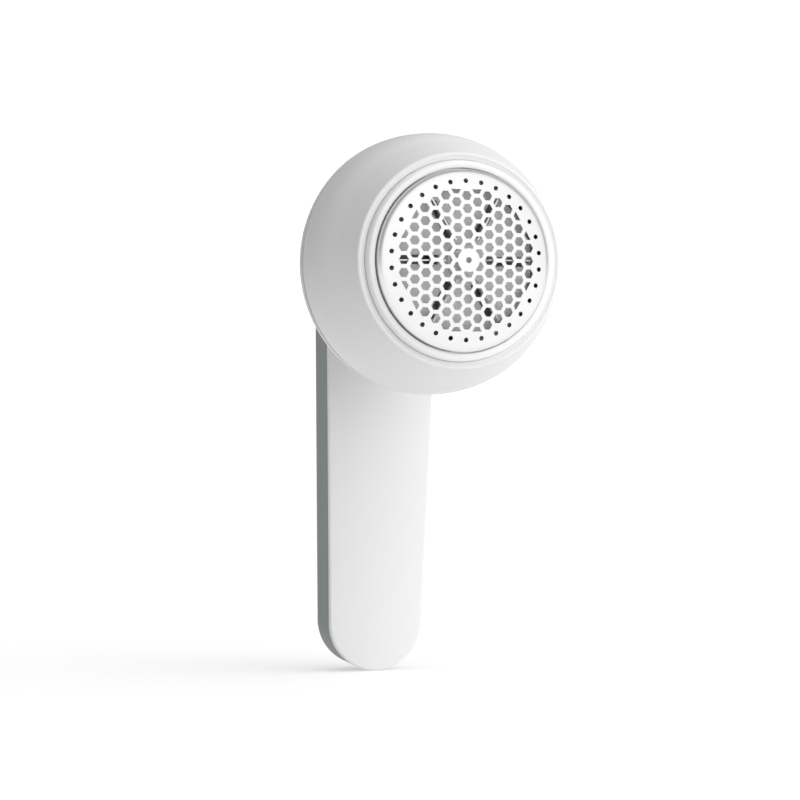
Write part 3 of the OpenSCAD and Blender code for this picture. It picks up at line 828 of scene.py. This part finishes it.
# broad soft lobes of light: direction they come from, narrowness, strength
LOBES = [((0.7, -0.7, 0.1), 3.0, 3.0), ((0.0, 0.0, 1.0), 3.0, 1.44), ((0.6, -0.5, 0.65), 3.0, 0.44), ((0.95, -0.25, 0.3), 12.0, 0.62)]
total = None
for v, e, k in LOBES:
    wdot = wn.new("ShaderNodeVectorMath")
    wdot.operation = "DOT_PRODUCT"
    wdot.inputs[1].default_value = Vector(v).normalized()
    wl.new(wtc.outputs["Generated"], wdot.inputs[0])
    chain = wdot.outputs["Value"]
    for op, q in (("MAXIMUM", 0.0), ("POWER", e), ("MULTIPLY", k)):
        wm = wn.new("ShaderNodeMath")
        wm.operation = op
        wm.inputs[1].default_value = q
        wl.new(chain, wm.inputs[0])
        chain = wm.outputs[0]
    if total is not None:
        wm = wn.new("ShaderNodeMath")
        wm.operation = "ADD"
        wl.new(total, wm.inputs[0])
        wl.new(chain, wm.inputs[1])
        chain = wm.outputs[0]
    total = chain
wl.new(total, bg_lit.inputs["Strength"])
bg_ref = wn.new("ShaderNodeBackground")
bg_ref.inputs["Color"].default_value = (1, 1, 1, 1)
rdot = wn.new("ShaderNodeVectorMath")
rdot.operation = "DOT_PRODUCT"
rdot.inputs[1].default_value = Vector((math.sin(math.radians(8)), -math.cos(math.radians(8)), 0.05)).normalized()
wl.new(wtc.outputs["Generated"], rdot.inputs[0])
rmr = wn.new("ShaderNodeMapRange")
rmr.interpolation_type = "SMOOTHSTEP"
rmr.inputs["From Min"].default_value = 0.45
rmr.inputs["From Max"].default_value = 0.93
rmr.inputs["To Min"].default_value = 0.40
rmr.inputs["To Max"].default_value = 1.16
wl.new(rdot.outputs["Value"], rmr.inputs["Value"])
wl.new(rmr.outputs["Result"], bg_ref.inputs["Strength"])
lp = wn.new("ShaderNodeLightPath")
mixg = wn.new("ShaderNodeMixShader")
wl.new(lp.outputs["Is Glossy Ray"], mixg.inputs["Fac"])
wl.new(bg_lit.outputs["Background"], mixg.inputs[1])
wl.new(bg_ref.outputs["Background"], mixg.inputs[2])
mixs = wn.new("ShaderNodeMixShader")
wl.new(lp.outputs["Is Camera Ray"], mixs.inputs["Fac"])
wl.new(mixg.outputs["Shader"], mixs.inputs[1])
wl.new(bg_cam.outputs["Background"], mixs.inputs[2])
wl.new(mixs.outputs["Shader"], out.inputs["Surface"])

fm, fnt, fbs = mat_base("floor_paper")
fN, fL = fnt.nodes, fnt.links
ftc = fN.new("ShaderNodeTexCoord")
fnz = fN.new("ShaderNodeTexNoise")
fnz.inputs["Scale"].default_value = 3.0
fL.new(ftc.outputs["Object"], fnz.inputs["Vector"])
fmx = fN.new("ShaderNodeMix")
fmx.data_type = "RGBA"
fmx.inputs["A"].default_value = (0.49, 0.49, 0.49, 1)
fmx.inputs["B"].default_value = (0.51, 0.51, 0.51, 1)
fL.new(fnz.outputs["Fac"], fmx.inputs["Factor"])
fL.new(fmx.outputs["Result"], fbs.inputs["Base Color"])
fbs.inputs["Roughness"].default_value = 0.9
fbs.inputs["Specular IOR Level"].default_value = 0.1
fbs.inputs["Emission Color"].default_value = (1, 1, 1, 1)
fbs.inputs["Emission Strength"].default_value = 0.52
S = 6.0
floor = new_obj("floor", [(-S, -S, -0.0003), (S, -S, -0.0003), (S, S, -0.0003), (-S, S, -0.0003)], [(0, 1, 2, 3)], fm, smooth=False)


def area(name, loc, target, size, power, col=(1, 1, 1), size_y=None):
    ld = bpy.data.lights.new(name, "AREA")
    ld.energy = power
    ld.color = col
    ld.shape = "RECTANGLE" if size_y else "SQUARE"
    ld.size = size
    if size_y:
        ld.size_y = size_y
    lo = bpy.data.objects.new(name, ld)
    bpy.context.scene.collection.objects.link(lo)
    lo.location = loc
    d = Vector(target) - Vector(loc)
    lo.rotation_euler = d.to_track_quat("-Z", "Y").to_euler()
    return lo


ctr = (0, 0, 0.09)
area("key_right", (0.70, -0.55, 0.35), ctr, 0.35, 0.02)
